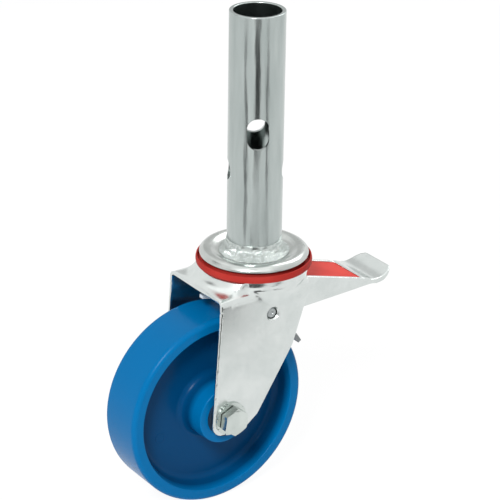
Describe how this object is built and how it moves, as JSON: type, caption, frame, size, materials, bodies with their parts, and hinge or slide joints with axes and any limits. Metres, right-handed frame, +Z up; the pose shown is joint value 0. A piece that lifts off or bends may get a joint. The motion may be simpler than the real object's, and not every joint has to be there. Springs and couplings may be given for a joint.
{
  "type": "scaffold castor",
  "caption": "Braked swivel castor with a solid blue wheel and a tubular stem that pins into a scaffold leg.",
  "frame": {"origin": "on the swivel axis at the foot of the bare stem, on top of its weld", "axes": "+Z up the stem along the swivel axis, +X towards the brake pedal, Y along the wheel's axle"},
  "size_m": [0.2366, 0.0951, 0.374],
  "materials": {
    "zinc_steel": "bright zinc plate",
    "zinc_tube": "zinc plated tube",
    "hardened_steel": "ground",
    "spring_steel": "dull zinc plate",
    "blue_nylon": "smooth moulded",
    "red_polymer": "satin moulded",
    "grey_nylon": "moulded"
  },
  "bodies": {
    "stem": {"stem_tube": "zinc_tube", "stem_weld": "zinc_tube", "top_cap": "zinc_tube", "king_bolt": "zinc_steel", "king_nut": "zinc_steel", "lower_race": "hardened_steel", "lock_ring": "spring_steel"},
    "fork": {"fork": "zinc_steel", "upper_race": "hardened_steel", "upper_balls": "hardened_steel", "lower_balls": "hardened_steel", "dust_seal": "red_polymer", "axle_bolt": "zinc_steel", "axle_nut": "zinc_steel", "axle_washers": "zinc_steel", "axle_sleeve": "hardened_steel", "pivot_pin": "zinc_steel", "pivot_spacers": "zinc_steel"},
    "wheel": {"wheel": "blue_nylon", "roller_cage": "grey_nylon", "rollers": "hardened_steel", "hub_caps": "grey_nylon"},
    "lever": {"brake_lever": "zinc_steel", "pedal_insert": "red_polymer", "brake_shoe": "spring_steel", "shoe_rivets": "zinc_steel", "lock_pawl": "spring_steel"}
  },
  "joints": [
    {"name": "swivel", "type": "hinge", "parent": "stem", "child": "fork", "pos_m": [0, 0, 0], "axis": [0, 0, 1], "continuous": true},
    {"name": "wheel_spin", "type": "hinge", "parent": "fork", "child": "wheel", "pos_m": [-0.0435, 0, -0.124], "axis": [0, 1, 0], "continuous": true},
    {"name": "pedal", "type": "hinge", "parent": "fork", "child": "lever", "pos_m": [-0.0063, 0, -0.048], "axis": [0, 1, 0], "range_deg": [0, 7]}
  ]
}
